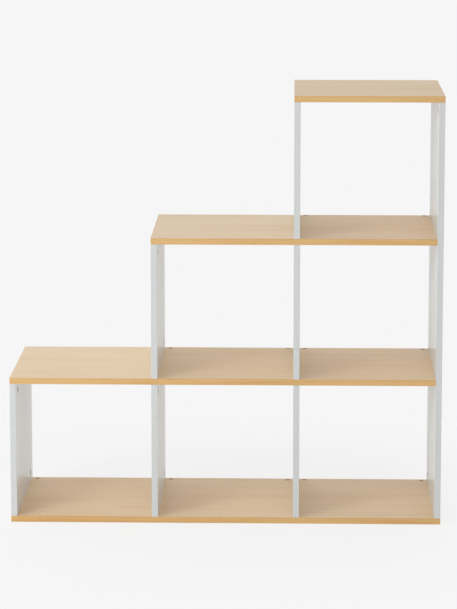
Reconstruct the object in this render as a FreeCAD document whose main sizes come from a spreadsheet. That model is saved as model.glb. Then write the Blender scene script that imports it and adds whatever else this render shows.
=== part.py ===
import FreeCAD, Part
import os
import Sketcher

# Staircase bookshelf: three columns of open cubbies that climb from one tier at the left to three.
# Four wood-decor boards lie flat, seven white panels stand between them, and every open cut edge is banded.
# Each end of a panel is drawn to its board by one cam lock and kept in line by two dowels.
# Frame: millimetres, +Z up, front towards -Y, steps climb towards +X, origin under the middle of the base.

# Driving dimensions
SIZES = {
    # Carcass
    "cubby_width": 330.0,
    "cubby_height": 330.0,
    "depth": 390.0,
    "board": 15.0,
    # Edge band glued to the cut edges, with its outer corners eased
    "band": 1.0,
    "band_round": 0.6,
    # Cam lock: a drum let into the panel face, turned to pull on the head of its bolt
    "cam_diameter": 15.0,
    "cam_skin": 2.7,
    "cam_setback": 25.0,
    "cam_inset": 50.0,
    "cam_slot_width": 1.6,
    "cam_slot_length": 9.0,
    "cam_slot_depth": 2.2,
    # Cam bolt: thread in the board, collar on its face, neck and head in the panel
    "bolt_bore": 8.0,
    "bolt_thread": 6.6,
    "bolt_collar": 7.4,
    "bolt_collar_length": 2.0,
    "bolt_neck": 4.6,
    "bolt_head": 7.0,
    "bolt_head_length": 3.0,
    "bolt_tip_gap": 1.0,
    # Dowels
    "dowel_diameter": 8.0,
    "dowel_in_panel": 20.0,
    "dowel_chamfer": 1.0,
    "dowel_inset": 85.0,
    "dowel_offset": 30.0,
    # Rear hole plugs: a thin round head on a plain shank
    "plug_diameter": 10.0,
    "plug_height": 1.2,
    "plug_round": 0.5,
    "plug_shank": 5.0,
    "plug_side_inset": 14.5,
    "plug_rear_inset": 12.0,
    # Wall bracket: a bent steel angle under the rear of the top board
    "bracket_width": 40.0,
    "bracket_reach": 25.0,
    "bracket_drop": 30.0,
    "bracket_plate": 2.0,
    "bracket_bend": 2.0,
    "bracket_wall_hole": 5.5,
    "bracket_screw_pitch": 24.0,
    # Bracket screws
    "screw_diameter": 3.6,
    "screw_head": 7.0,
    "screw_head_height": 2.4,
    "screw_slot_width": 1.0,
    "screw_slot_depth": 1.2,
    # Fits and overrun
    "drilling_skin": 5.0,
    "fit_clearance": 0.1,
    "cam_clearance": 0.3,
    "end_gap": 0.3,
    "overrun": 1.0,
}

# Plain shares and turns
BAND_ROUND_LIMIT_SHARE = 0.8
CAM_TURN_DEGREES = 100.0

# Column lines from left to right, and the boards that make the levels from the floor up
LINES = ("left", "inner_left", "inner_right", "right")
LEVELS = ("base_board", "lower_shelf", "upper_shelf", "top_board")
COLUMNS = len(LINES) - 1

# Panels: name, column line that they stand on, board below and board above
PANEL_PLACES = (
    ("left_end_panel", "left", "base_board", "lower_shelf"),
    ("lower_left_divider", "inner_left", "base_board", "lower_shelf"),
    ("lower_right_divider", "inner_right", "base_board", "lower_shelf"),
    ("middle_end_panel", "inner_left", "lower_shelf", "upper_shelf"),
    ("middle_divider", "inner_right", "lower_shelf", "upper_shelf"),
    ("upper_end_panel", "inner_right", "upper_shelf", "top_board"),
    ("right_side_panel", "right", "base_board", "top_board"),
)
SIDE_PANEL = "right_side_panel"

# Boards: name, column line of the left end, and whether the right end runs over the side panel's end
# or butts against its inner face
BOARD_PLACES = (
    ("base_board", "left", "over"),
    ("lower_shelf", "left", "against"),
    ("upper_shelf", "inner_left", "against"),
    ("top_board", "inner_right", "over"),
)

# The same two tables with lines and levels counted from zero
PANELS = [(name, LINES.index(line), LEVELS.index(below), LEVELS.index(above))
          for name, line, below, above in PANEL_PLACES]
BOARDS = [(name, LINES.index(line), LEVELS.index(name), right_end)
          for name, line, right_end in BOARD_PLACES]

# Document and its table of dimensions
doc = FreeCAD.newDocument("staircase_bookshelf")
dims = doc.addObject("Spreadsheet::Sheet", "dims")
for row, (alias, size) in enumerate(SIZES.items(), start=1):
    dims.set(f"A{row}", alias.replace("_", " "))
    dims.set(f"B{row}", str(size))
    dims.setAlias(f"B{row}", alias)
doc.recompute()

# Derived sizes, written once as expressions on the table
BOARD = "dims.board"
BAND = "dims.band"
MIDDLE_OF_BOARD = "dims.board / 2"
CORE_DEPTH = "(dims.depth - 2 * dims.band)"
BAND_ROUND = f"min(dims.band_round; {BAND_ROUND_LIMIT_SHARE} * dims.band)"
OVERALL_WIDTH = f"({COLUMNS} * dims.cubby_width + {COLUMNS + 1} * dims.board)"
FRONT = "(-dims.depth / 2)"
REAR_BAND = "(dims.depth / 2 - dims.band)"
CORE_FRONT = "(dims.band - dims.depth / 2)"
FACE_DRILLING = "(dims.board - dims.drilling_skin)"
CAM_BORE = "dims.cam_diameter"
CAM_BORE_DEPTH = "(dims.board - dims.cam_skin)"
CAM_LENGTH = "(dims.board - dims.cam_skin - dims.end_gap)"
CAM_RADIUS = "(dims.cam_diameter / 2 - dims.fit_clearance)"
BOLT_BORE = "dims.bolt_bore"
BOLT_BORE_DEPTH = "dims.cam_setback"
HEAD_START = "(dims.cam_setback - dims.bolt_tip_gap - dims.bolt_head_length)"
HEAD_END = "(dims.cam_setback - dims.bolt_tip_gap)"
DOWEL_HOLE = "(dims.dowel_diameter + 2 * dims.fit_clearance)"
THREAD_HOLE = "(dims.bolt_thread + 2 * dims.fit_clearance)"
SHANK_HOLE = "(dims.plug_shank + 2 * dims.fit_clearance)"
SCREW_HOLE = "(dims.screw_diameter + 2 * dims.fit_clearance)"
DOWEL_END_DEPTH = "(dims.dowel_in_panel + dims.end_gap)"
FASTENER_FOOT = f"-({FACE_DRILLING} - dims.end_gap)"
SCREW_LENGTH = f"({FACE_DRILLING} - dims.end_gap + dims.bracket_plate)"

# Places across the depth, measured from the front of a board's core
CAM_FRONT = "(dims.cam_inset - dims.band)"
CAM_REAR = "(dims.depth - dims.cam_inset - dims.band)"
DOWEL_FRONT = "(dims.dowel_inset - dims.band)"
DOWEL_REAR = "(dims.depth - dims.dowel_inset - dims.band)"
DOWEL_MIDDLE_FRONT = "(dims.depth / 2 - dims.dowel_offset - dims.band)"
DOWEL_MIDDLE_REAR = "(dims.depth / 2 + dims.dowel_offset - dims.band)"
PLUG_REAR = "(dims.depth - dims.plug_rear_inset - dims.band)"

# A joint above a panel has its cam at the front and one below has it at the rear,
# so two panels that meet the same shelf from both sides never drill into each other.
CAM_PLACE = {"top": CAM_FRONT, "bottom": CAM_REAR}
DOWEL_PLACES = {
    "top": (DOWEL_REAR, DOWEL_MIDDLE_FRONT),
    "bottom": (DOWEL_FRONT, DOWEL_MIDDLE_REAR),
}
SHELF_END_CAMS = (CAM_FRONT, CAM_REAR)
SHELF_END_DOWELS = (DOWEL_FRONT, DOWEL_REAR)

X_AXIS = FreeCAD.Vector(1, 0, 0)
Y_AXIS = FreeCAD.Vector(0, 1, 0)
Z_AXIS = FreeCAD.Vector(0, 0, 1)

# Number by which every sketch knows its own origin
ORIGIN_INDEX = -1


def line_x(line):
    """Left face of the panels on a column line."""
    return f"({line} * (dims.cubby_width + dims.board) - {OVERALL_WIDTH} / 2)"


def level_z(level):
    """Underside of the boards on a level."""
    return f"({level} * (dims.cubby_height + dims.board))"


def value(expression):
    """The number that an expression on the table gives now."""
    return float(dims.evalExpression(expression))


def new_body(name, x="0", y="0", z="0"):
    """An empty body whose local origin is placed by three expressions."""
    body = doc.addObject("PartDesign::Body", name)
    body.Label = name
    for axis, place in (("x", x), ("y", y), ("z", z)):
        body.setExpression(f"Placement.Base.{axis}", place)
    return body


def new_sketch(body, role, name, offset="0"):
    """A sketch on one of the body's own origin planes, moved along the plane's normal."""
    plane = next(feature for feature in body.Origin.OriginFeatures if feature.Role == role)
    sketch = body.newObject("Sketcher::SketchObject", name)
    sketch.AttachmentSupport = (plane, [""])
    sketch.MapMode = "FlatFace"
    sketch.setExpression("AttachmentOffset.Base.z", offset)
    return sketch


def bind(sketch, kind, *geometry, size):
    """A dimension of a sketch, driven by an expression."""
    index = sketch.addConstraint(Sketcher.Constraint(kind, *geometry, value(size)))
    sketch.setExpression(f"Constraints[{index}]", size)


def draw_polygon(sketch, points):
    """A closed outline whose every corner is held by two distances from the origin."""
    corners = [FreeCAD.Vector(value(u), value(v), 0) for u, v in points]
    count = len(corners)
    for index, corner in enumerate(corners):
        sketch.addGeometry(Part.LineSegment(corner, corners[(index + 1) % count]), False)
    for index, (u, v) in enumerate(points):
        sketch.addConstraint(Sketcher.Constraint("Coincident", index, 2, (index + 1) % count, 1))
        for kind, distance, in_line in (("DistanceX", u, "Vertical"), ("DistanceY", v, "Horizontal")):
            if (u, v) == ("0", "0"):
                continue
            if distance == "0":
                sketch.addConstraint(Sketcher.Constraint(in_line, ORIGIN_INDEX, 1, index, 1))
            else:
                bind(sketch, kind, ORIGIN_INDEX, 1, index, 1, size=distance)
        if (u, v) == ("0", "0"):
            sketch.addConstraint(Sketcher.Constraint("Coincident", ORIGIN_INDEX, 1, index, 1))


def draw_rectangle(sketch, width, height):
    """A rectangle with one corner at the origin."""
    draw_polygon(sketch, (("0", "0"), (width, "0"), (width, height), ("0", height)))


def pad(body, sketch, name, length, backwards=False):
    """The sketch drawn out along its normal, or against it."""
    feature = body.newObject("PartDesign::Pad", name)
    feature.Profile = sketch
    feature.Reversed = backwards
    feature.setExpression("Length", length)
    doc.recompute()
    return feature


def pocket(body, sketch, name, depth, forwards=False):
    """The sketch cut against its normal, or along it; it has to take material away."""
    before = body.Shape.Volume
    feature = body.newObject("PartDesign::Pocket", name)
    feature.Profile = sketch
    feature.Reversed = forwards
    feature.setExpression("Length", depth)
    doc.recompute()
    if not body.Shape.Volume < before:
        raise RuntimeError(f"{body.Label}: {name} cut nothing")
    return feature


def drill(body, name, role, offset, forwards, diameter, depth, centres):
    """Holes of one diameter and depth, bored from a plane of the body at the given centres."""
    sketch = new_sketch(body, role, f"{body.Label}_{name}_sketch", offset)
    for u, v in centres:
        centre = FreeCAD.Vector(value(u), value(v), 0)
        circle = sketch.addGeometry(Part.Circle(centre, Z_AXIS, value(diameter) / 2), False)
        bind(sketch, "Diameter", circle, size=diameter)
        bind(sketch, "DistanceX", ORIGIN_INDEX, 1, circle, 3, size=u)
        bind(sketch, "DistanceY", ORIGIN_INDEX, 1, circle, 3, size=v)
    pocket(body, sketch, f"{body.Label}_{name}", depth, forwards)


def revolve(body, name, profile):
    """A turned piece: a half outline in radius and height, turned about the body's Z axis."""
    sketch = new_sketch(body, "XZ_Plane", f"{name}_profile")
    draw_polygon(sketch, profile)
    feature = body.newObject("PartDesign::Revolution", f"{name}_turned")
    feature.Profile = sketch
    feature.ReferenceAxis = (sketch, ["V_Axis"])
    doc.recompute()
    return feature


def edges_on(shape, direction, axis, place):
    """Names of the straight edges along a direction that lie at a place on the given axis."""
    names = []
    for number, edge in enumerate(shape.Edges, start=1):
        start, end = edge.Vertexes[0].Point, edge.Vertexes[-1].Point
        along = (end - start).normalize().cross(direction).Length < Part.Precision.confusion()
        if along and abs(start.dot(axis) - place) < Part.Precision.confusion():
            names.append(f"Edge{number}")
    return names


# Upright panels

def panel_height(below, above):
    """Clear height between the boards that a panel stands between."""
    return f"({above - below} * (dims.cubby_height + dims.board) - dims.board)"


def make_panel(name, line, below, above):
    """A panel's core with the bores of its cam joints in its face and both its ends."""
    height = panel_height(below, above)
    body = new_body(name, line_x(line), CORE_FRONT, f"{level_z(below)} + dims.board")
    outline = new_sketch(body, "YZ_Plane", f"{name}_outline")
    draw_rectangle(outline, CORE_DEPTH, height)
    pad(body, outline, f"{name}_core", BOARD)

    inner_left = name == SIDE_PANEL
    cam_heights = {"top": f"({height} - dims.cam_setback)", "bottom": "dims.cam_setback"}
    cam_centres = [(CAM_PLACE[end], cam_heights[end]) for end in ("top", "bottom")]
    cam_face = "0" if inner_left else BOARD
    drill(body, "cam_bores", "YZ_Plane", cam_face, inner_left, CAM_BORE, CAM_BORE_DEPTH, cam_centres)

    for end, plane in (("top", height), ("bottom", "0")):
        bolts = [(MIDDLE_OF_BOARD, CAM_PLACE[end])]
        dowels = [(MIDDLE_OF_BOARD, place) for place in DOWEL_PLACES[end]]
        upwards = end == "bottom"
        drill(body, f"{end}_bolt_bore", "XY_Plane", plane, upwards, BOLT_BORE, BOLT_BORE_DEPTH, bolts)
        drill(body, f"{end}_dowel_holes", "XY_Plane", plane, upwards, DOWEL_HOLE, DOWEL_END_DEPTH, dowels)
    return body


# Flat boards

def board_length(line, right_end):
    """Length of a board from its left column line to the outer or the inner face of the side panel."""
    bays = f"{COLUMNS - line} * (dims.cubby_width + dims.board)"
    return f"({bays} + dims.board)" if right_end == "over" else f"({bays})"


def lines_meeting(level, end):
    """Column lines of the panels whose named end meets the board of a level."""
    return [line for _, line, below, above in PANELS if level == (above if end == "top" else below)]


def cubby_lines(level):
    """Column lines that have a cubby at their right, above the board of a level."""
    return sorted(line for _, line, below, above in PANELS if below <= level < above and line < COLUMNS)


def plug_places(level):
    """Places along the width of the hole plugs in the floor of each cubby of a level."""
    places = []
    for line in cubby_lines(level):
        places.append(f"({line_x(line)} + dims.board + dims.plug_side_inset)")
        places.append(f"({line_x(line + 1)} - dims.plug_side_inset)")
    return places


def make_board(name, line, level, right_end):
    """A board's core with the face holes of every joint that meets it."""
    bands = 2 if right_end == "over" else 1
    length = f"({board_length(line, right_end)} - {bands} * dims.band)"
    start = f"({line_x(line)} + dims.band)"
    body = new_body(name, start, CORE_FRONT, level_z(level))
    outline = new_sketch(body, "XY_Plane", f"{name}_outline")
    draw_rectangle(outline, length, CORE_DEPTH)
    pad(body, outline, f"{name}_core", BOARD)

    # A board's underside takes the tops of the panels below it, its upper face the feet of those above.
    for end, plane in (("top", "0"), ("bottom", BOARD)):
        middles = [f"({line_x(at)} + dims.board / 2 - {start})" for at in lines_meeting(level, end)]
        if not middles:
            continue
        bolts = [(middle, CAM_PLACE[end]) for middle in middles]
        dowels = [(middle, place) for middle in middles for place in DOWEL_PLACES[end]]
        side = "under" if end == "top" else "upper"
        upwards = end == "top"
        drill(body, f"{side}_bolt_holes", "XY_Plane", plane, upwards, THREAD_HOLE, FACE_DRILLING, bolts)
        drill(body, f"{side}_dowel_holes", "XY_Plane", plane, upwards, DOWEL_HOLE, FACE_DRILLING, dowels)

    plugs = [(f"({place} - {start})", PLUG_REAR) for place in plug_places(level)]
    if plugs:
        drill(body, "plug_holes", "XY_Plane", BOARD, False, SHANK_HOLE, FACE_DRILLING, plugs)

    if right_end == "against":
        cams = [(f"({length} - dims.cam_setback)", place) for place in SHELF_END_CAMS]
        bolts = [(place, MIDDLE_OF_BOARD) for place in SHELF_END_CAMS]
        dowels = [(place, MIDDLE_OF_BOARD) for place in SHELF_END_DOWELS]
        drill(body, "end_cam_bores", "XY_Plane", "0", True, CAM_BORE, CAM_BORE_DEPTH, cams)
        drill(body, "end_bolt_bores", "YZ_Plane", length, False, BOLT_BORE, BOLT_BORE_DEPTH, bolts)
        drill(body, "end_dowel_holes", "YZ_Plane", length, False, DOWEL_HOLE, DOWEL_END_DEPTH, dowels)
    return body


def drill_side_panel(body):
    """Holes in the side panel's inner face for the ends of the two shelves that butt against it."""
    levels = [level for _, _, level, right_end in BOARDS if right_end == "against"]
    heights = [f"({level_z(level)} - dims.board / 2)" for level in levels]
    bolts = [(place, height) for height in heights for place in SHELF_END_CAMS]
    dowels = [(place, height) for height in heights for place in SHELF_END_DOWELS]
    drill(body, "shelf_bolt_holes", "YZ_Plane", "0", True, THREAD_HOLE, FACE_DRILLING, bolts)
    drill(body, "shelf_dowel_holes", "YZ_Plane", "0", True, DOWEL_HOLE, FACE_DRILLING, dowels)


# Places of the wall bracket, under the middle of the top cubby's ceiling and flush with the rear
TOP_LINE = COLUMNS - 1
BRACKET_MIDDLE_X = f"({line_x(TOP_LINE)} + dims.board + dims.cubby_width / 2)"
BRACKET_SCREW_X = tuple(f"({BRACKET_MIDDLE_X} {sign} dims.bracket_screw_pitch / 2)" for sign in "-+")
BRACKET_SCREW_Y = "(dims.depth / 2 - (dims.bracket_reach + dims.bracket_plate) / 2)"
BRACKET_CEILING = level_z(COLUMNS)
PLATE_CUT = "(dims.bracket_plate + dims.overrun)"


def drill_bracket_holes(body):
    """Pilot holes for the wall bracket's screws in the underside of the top board."""
    start = f"({line_x(TOP_LINE)} + dims.band)"
    places = [(f"({x} - {start})", f"({BRACKET_SCREW_Y} - {CORE_FRONT})") for x in BRACKET_SCREW_X]
    drill(body, "bracket_holes", "XY_Plane", "0", True, SCREW_HOLE, FACE_DRILLING, places)


# Edge bands

def make_band(name, x, y, z, role, section, length, run, outer_axis, outer_place):
    """A strip of edge band: its section drawn out along the edge, with its two outer corners eased."""
    body = new_body(name, x, y, z)
    outline = new_sketch(body, role, f"{name}_section")
    draw_rectangle(outline, *section)
    strip = pad(body, outline, f"{name}_strip", length, backwards=role == "XZ_Plane")
    ease = body.newObject("PartDesign::Fillet", f"{name}_eased")
    ease.Base = (strip, edges_on(strip.Shape, run, outer_axis, value(outer_place)))
    ease.setExpression("Radius", BAND_ROUND)
    doc.recompute()
    return body


def band_board(name, line, level, right_end):
    """Bands of a board: full-length strips at the front and rear, short strips between them on open ends."""
    x, z = line_x(line), level_z(level)
    length = board_length(line, right_end)
    strips = []
    for edge, y, outer in (("front", FRONT, "0"), ("rear", REAR_BAND, BAND)):
        strips.append(make_band(f"{name}_{edge}_band", x, y, z, "YZ_Plane", (BAND, BOARD), length,
                                X_AXIS, Y_AXIS, outer))
    ends = [("left", x, "0")]
    if right_end == "over":
        ends.append(("right", f"({x} + {length} - dims.band)", BAND))
    for edge, place, outer in ends:
        strips.append(make_band(f"{name}_{edge}_band", place, CORE_FRONT, z, "XZ_Plane", (BAND, BOARD),
                                CORE_DEPTH, Y_AXIS, X_AXIS, outer))
    return strips


def band_panel(name, line, below, above):
    """Bands of a panel: one strip at the front and one at the rear."""
    floor = f"({level_z(below)} + dims.board)"
    strips = []
    for edge, y, outer in (("front", FRONT, "0"), ("rear", REAR_BAND, BAND)):
        strips.append(make_band(f"{name}_{edge}_band", line_x(line), y, floor, "XY_Plane", (BOARD, BAND),
                                panel_height(below, above), Z_AXIS, Y_AXIS, outer))
    return strips


# Fastener patterns, each made once at its own origin

def cylinder(name, radius, height, angle=None):
    """A plain round solid, or a sector of one."""
    solid = doc.addObject("Part::Cylinder", name)
    solid.setExpression("Radius", radius)
    solid.setExpression("Height", height)
    if angle is not None:
        solid.Angle = angle
    return solid


def make_cam_lock():
    """Cam drum: visible face at zero height, bolt coming in along +X at half the board's thickness.

    The head's chamber and the neck's slot sweep through the cam's turn, from the entry to the locked place.
    """
    drum = cylinder("cam_drum", CAM_RADIUS, CAM_LENGTH)
    drum.setExpression("Placement.Base.z", f"-{CAM_LENGTH}")
    head_room = "(dims.bolt_head + 2 * dims.cam_clearance)"
    neck_room = "(dims.bolt_neck + 2 * dims.cam_clearance)"
    chamber_radius = "(dims.bolt_tip_gap + dims.bolt_head_length + dims.cam_clearance)"
    outside = f"({CAM_RADIUS} + dims.overrun)"

    chamber = cylinder("cam_chamber", chamber_radius, head_room, CAM_TURN_DEGREES)
    chamber.setExpression("Placement.Base.z", f"-(dims.board + {head_room}) / 2")
    slot = cylinder("cam_neck_slot", outside, neck_room, CAM_TURN_DEGREES)
    slot.setExpression("Placement.Base.z", f"-(dims.board + {neck_room}) / 2")
    channels = [
        ("cam_head_seat", head_room, chamber_radius, X_AXIS),
        ("cam_neck_way", neck_room, outside, X_AXIS),
        ("cam_head_entry", head_room, outside, FreeCAD.Rotation(Z_AXIS, CAM_TURN_DEGREES).multVec(X_AXIS)),
    ]
    cutters = [chamber, slot]
    for name, room, reach, direction in channels:
        channel = cylinder(name, f"{room} / 2", reach)
        channel.Placement.Rotation = FreeCAD.Rotation(Z_AXIS, direction)
        channel.setExpression("Placement.Base.z", "-dims.board / 2")
        cutters.append(channel)
    for name, length, width in (
        ("cam_cross_slot", "dims.cam_slot_length", "dims.cam_slot_width"),
        ("cam_cross_slot_turned", "dims.cam_slot_width", "dims.cam_slot_length"),
    ):
        groove = doc.addObject("Part::Box", name)
        groove.setExpression("Length", length)
        groove.setExpression("Width", width)
        groove.setExpression("Height", "dims.cam_slot_depth + dims.overrun")
        groove.setExpression("Placement.Base.x", f"-{length} / 2")
        groove.setExpression("Placement.Base.y", f"-{width} / 2")
        groove.setExpression("Placement.Base.z", "-dims.cam_slot_depth")
        cutters.append(groove)
    hollows = doc.addObject("Part::MultiFuse", "cam_hollows")
    hollows.Shapes = cutters
    lock = doc.addObject("Part::Cut", "cam_lock")
    lock.Base = drum
    lock.Tool = hollows
    return lock


def make_cam_bolt():
    """Cam bolt: joint plane at zero height, thread below it, collar, neck and head above."""
    body = new_body("cam_bolt")
    thread, collar = "dims.bolt_thread / 2", "dims.bolt_collar / 2"
    neck, head = "dims.bolt_neck / 2", "dims.bolt_head / 2"
    collar_top = "dims.bolt_collar_length"
    revolve(body, "cam_bolt", (
        ("0", FASTENER_FOOT), (thread, FASTENER_FOOT), (thread, "0"), (collar, "0"), (collar, collar_top),
        (neck, collar_top), (neck, HEAD_START), (head, HEAD_START), (head, HEAD_END), ("0", HEAD_END),
    ))
    return body


def make_dowel():
    """Dowel: joint plane at zero height, short end below it in the board's face, both ends chamfered."""
    body = new_body("wood_dowel")
    radius = "dims.dowel_diameter / 2"
    small = "(dims.dowel_diameter / 2 - dims.dowel_chamfer)"
    tip = "dims.dowel_in_panel"
    revolve(body, "wood_dowel", (
        ("0", FASTENER_FOOT), (small, FASTENER_FOOT), (radius, f"({FASTENER_FOOT} + dims.dowel_chamfer)"),
        (radius, f"({tip} - dims.dowel_chamfer)"), (small, tip), ("0", tip),
    ))
    return body


def make_hole_plug():
    """Hole plug: board's face at zero height, shank below it, thin head above with its rim rounded."""
    body = new_body("rear_hole_plug")
    shank, head, top = "dims.plug_shank / 2", "dims.plug_diameter / 2", "dims.plug_height"
    turned = revolve(body, "rear_hole_plug", (
        ("0", FASTENER_FOOT), (shank, FASTENER_FOOT), (shank, "0"), (head, "0"), (head, top), ("0", top),
    ))
    rims = [f"Edge{number}" for number, edge in enumerate(turned.Shape.Edges, start=1)
            if edge.Closed and abs(edge.CenterOfMass.z - value(top)) < Part.Precision.confusion()]
    rounding = body.newObject("PartDesign::Fillet", "rear_hole_plug_rim")
    rounding.Base = (turned, rims)
    rounding.setExpression("Radius", "dims.plug_round")
    doc.recompute()
    return body


def make_bracket_screw():
    """Bracket screw: underside of the head at zero height, shank above it, slotted head below."""
    body = new_body("wall_bracket_screw")
    shank, head = "dims.screw_diameter / 2", "dims.screw_head / 2"
    revolve(body, "wall_bracket_screw", (
        ("0", "-dims.screw_head_height"), (head, "-dims.screw_head_height"), (head, "0"), (shank, "0"),
        (shank, SCREW_LENGTH), ("0", SCREW_LENGTH),
    ))
    slot = new_sketch(body, "XZ_Plane", "screw_slot_sketch", "-dims.screw_head / 2 - dims.overrun")
    side, deep = "dims.screw_slot_width / 2", "(dims.screw_slot_depth - dims.screw_head_height)"
    outside = "-(dims.screw_head_height + dims.overrun)"
    draw_polygon(slot, ((f"-{side}", outside), (side, outside), (side, deep), (f"-{side}", deep)))
    pocket(body, slot, "screw_slot", "dims.screw_head + 2 * dims.overrun", forwards=True)
    return body


# Groups of identical fasteners

def place_copies(name, pattern, places):
    """A group of separate copies of one fastener, each placed by expressions and turned to suit its joint."""
    copies = []
    for number, (x, y, z, turn) in enumerate(places, start=1):
        copy = doc.addObject("App::Link", f"{name}_{number}")
        copy.LinkedObject = pattern
        copy.Placement = FreeCAD.Placement(FreeCAD.Vector(), turn)
        for axis, place in (("x", x), ("y", y), ("z", z)):
            copy.setExpression(f"Placement.Base.{axis}", place)
        copies.append(copy)
    group = doc.addObject("Part::Compound", name)
    group.Label = name
    group.Links = copies
    return group


def frame_turn(x_direction, z_direction):
    """The turn that points a pattern's X and Z axes in two given directions."""
    return FreeCAD.Rotation(x_direction, FreeCAD.Vector(), z_direction, "XZY")


def across(place):
    """World place across the depth of a place measured from a core's front."""
    return f"({CORE_FRONT} + {place})"


def joint_places():
    """Places of every cam lock, cam bolt and dowel, from the same values as their bores."""
    locks, bolts, dowels = [], [], []
    for name, line, below, above in PANELS:
        inner = -X_AXIS if name == SIDE_PANEL else X_AXIS
        face = line_x(line) if name == SIDE_PANEL else f"({line_x(line)} + dims.board)"
        middle = f"({line_x(line)} + dims.board / 2)"
        for end, plane, outward, setback in (
            ("top", level_z(above), Z_AXIS, "- dims.cam_setback"),
            ("bottom", f"({level_z(below)} + dims.board)", -Z_AXIS, "+ dims.cam_setback"),
        ):
            into_panel = FreeCAD.Rotation(Z_AXIS, -outward)
            locks.append((face, across(CAM_PLACE[end]), f"({plane} {setback})", frame_turn(outward, inner)))
            bolts.append((middle, across(CAM_PLACE[end]), plane, into_panel))
            dowels += [(middle, across(place), plane, into_panel) for place in DOWEL_PLACES[end]]
    inner_face = line_x(COLUMNS)
    into_shelf = FreeCAD.Rotation(Z_AXIS, -X_AXIS)
    for _, _, level, right_end in BOARDS:
        if right_end == "over":
            continue
        middle = f"({level_z(level)} + dims.board / 2)"
        for place in SHELF_END_CAMS:
            locks.append((f"({inner_face} - dims.cam_setback)", across(place), level_z(level),
                          frame_turn(X_AXIS, -Z_AXIS)))
            bolts.append((inner_face, across(place), middle, into_shelf))
        dowels += [(inner_face, across(place), middle, into_shelf) for place in SHELF_END_DOWELS]
    return locks, bolts, dowels


# Wall bracket

def make_wall_bracket():
    """An angle of steel plate: one leg under the board, one hanging leg with the hole for the wall screw."""
    name = "wall_bracket"
    reach, drop = "dims.bracket_reach", "dims.bracket_drop"
    inner_y, inner_z = f"({reach} - dims.bracket_plate)", f"({drop} - dims.bracket_plate)"
    left_side = f"({BRACKET_MIDDLE_X} - dims.bracket_width / 2)"
    body = new_body(name, left_side, f"(dims.depth / 2 - {reach})", f"({BRACKET_CEILING} - {drop})")
    profile = new_sketch(body, "YZ_Plane", f"{name}_profile")
    draw_polygon(profile, (
        (inner_y, "0"), (reach, "0"), (reach, drop), ("0", drop), ("0", inner_z), (inner_y, inner_z),
    ))
    angle = pad(body, profile, f"{name}_angle", "dims.bracket_width")
    bend = body.newObject("PartDesign::Fillet", f"{name}_bend")
    inner = [edge for edge in edges_on(angle.Shape, X_AXIS, Y_AXIS, value(inner_y))
             if edge in edges_on(angle.Shape, X_AXIS, Z_AXIS, value(inner_z))]
    bend.Base = (angle, inner)
    bend.setExpression("Radius", "dims.bracket_bend")
    doc.recompute()

    middle = "dims.bracket_width / 2"
    screw_y = f"({BRACKET_SCREW_Y} - dims.depth / 2 + dims.bracket_reach)"
    screws = [(f"({middle} {sign} dims.bracket_screw_pitch / 2)", screw_y) for sign in "-+"]
    drill(body, "screw_holes", "XY_Plane", drop, False, SCREW_HOLE, PLATE_CUT, screws)
    wall = [(middle, f"{inner_z} / 2")]
    drill(body, "wall_hole", "XZ_Plane", f"-{reach}", True, "dims.bracket_wall_hole", PLATE_CUT, wall)
    return body


# Build every piece

pieces = []
bodies = {}
for name, *places in PANELS:
    bodies[name] = make_panel(name, *places)
for name, *places in BOARDS:
    bodies[name] = make_board(name, *places)
drill_side_panel(bodies[SIDE_PANEL])
drill_bracket_holes(bodies["top_board"])
pieces += bodies.values()
for board in BOARDS:
    pieces += band_board(*board)
for panel in PANELS:
    pieces += band_panel(*panel)

lock_places, bolt_places, dowel_places = joint_places()
plug_spots = [(x, across(PLUG_REAR), f"({level_z(level)} + dims.board)", FreeCAD.Rotation())
              for _, _, level, _ in BOARDS for x in plug_places(level)]
screw_spots = [(x, BRACKET_SCREW_Y, f"({BRACKET_CEILING} - dims.bracket_plate)", FreeCAD.Rotation())
               for x in BRACKET_SCREW_X]
pieces.append(place_copies("cam_locks", make_cam_lock(), lock_places))
pieces.append(place_copies("cam_bolts", make_cam_bolt(), bolt_places))
pieces.append(place_copies("wood_dowels", make_dowel(), dowel_places))
pieces.append(place_copies("rear_hole_plugs", make_hole_plug(), plug_spots))
pieces.append(make_wall_bracket())
pieces.append(place_copies("wall_bracket_screws", make_bracket_screw(), screw_spots))
doc.recompute()

# Check every object, then write each piece

for item in doc.Objects:
    if {"Invalid", "Error"} & set(item.State):
        raise RuntimeError(f"{item.Label} failed: {item.State}")
for piece in pieces:
    if piece.Shape.isNull() or not piece.Shape.isValid():
        raise RuntimeError(f"{piece.Label} has no valid shape")

os.makedirs("parts", exist_ok=True)
for piece in pieces:
    piece.Shape.exportStep(f"parts/{piece.Label}.step")
    box = piece.Shape.BoundBox
    size = f"{box.XLength:.1f} x {box.YLength:.1f} x {box.ZLength:.1f} mm"
    print(f"{piece.Label}: {len(piece.Shape.Solids)} solids, {size}, {piece.Shape.Volume:.0f} mm3")
print(f"{len(pieces)} pieces written")
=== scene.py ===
# %% [markdown]
# # A staircase bookshelf, dressed for a portrait
# The shelf is flat-pack furniture: four wood-decor boards, seven white panels, strips of edge band over
# the cut edges that show, and small metal, plastic and wooden fittings. The exact boards come in as a
# fixed frame from the construction model. This lesson gives each of them a finish, and models the small
# fittings again, finer, as surfaces worked out with numpy. Everything is in metres: +Z is up and the
# front faces -Y.

# %% Load the frame and keep its box
import math

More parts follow.
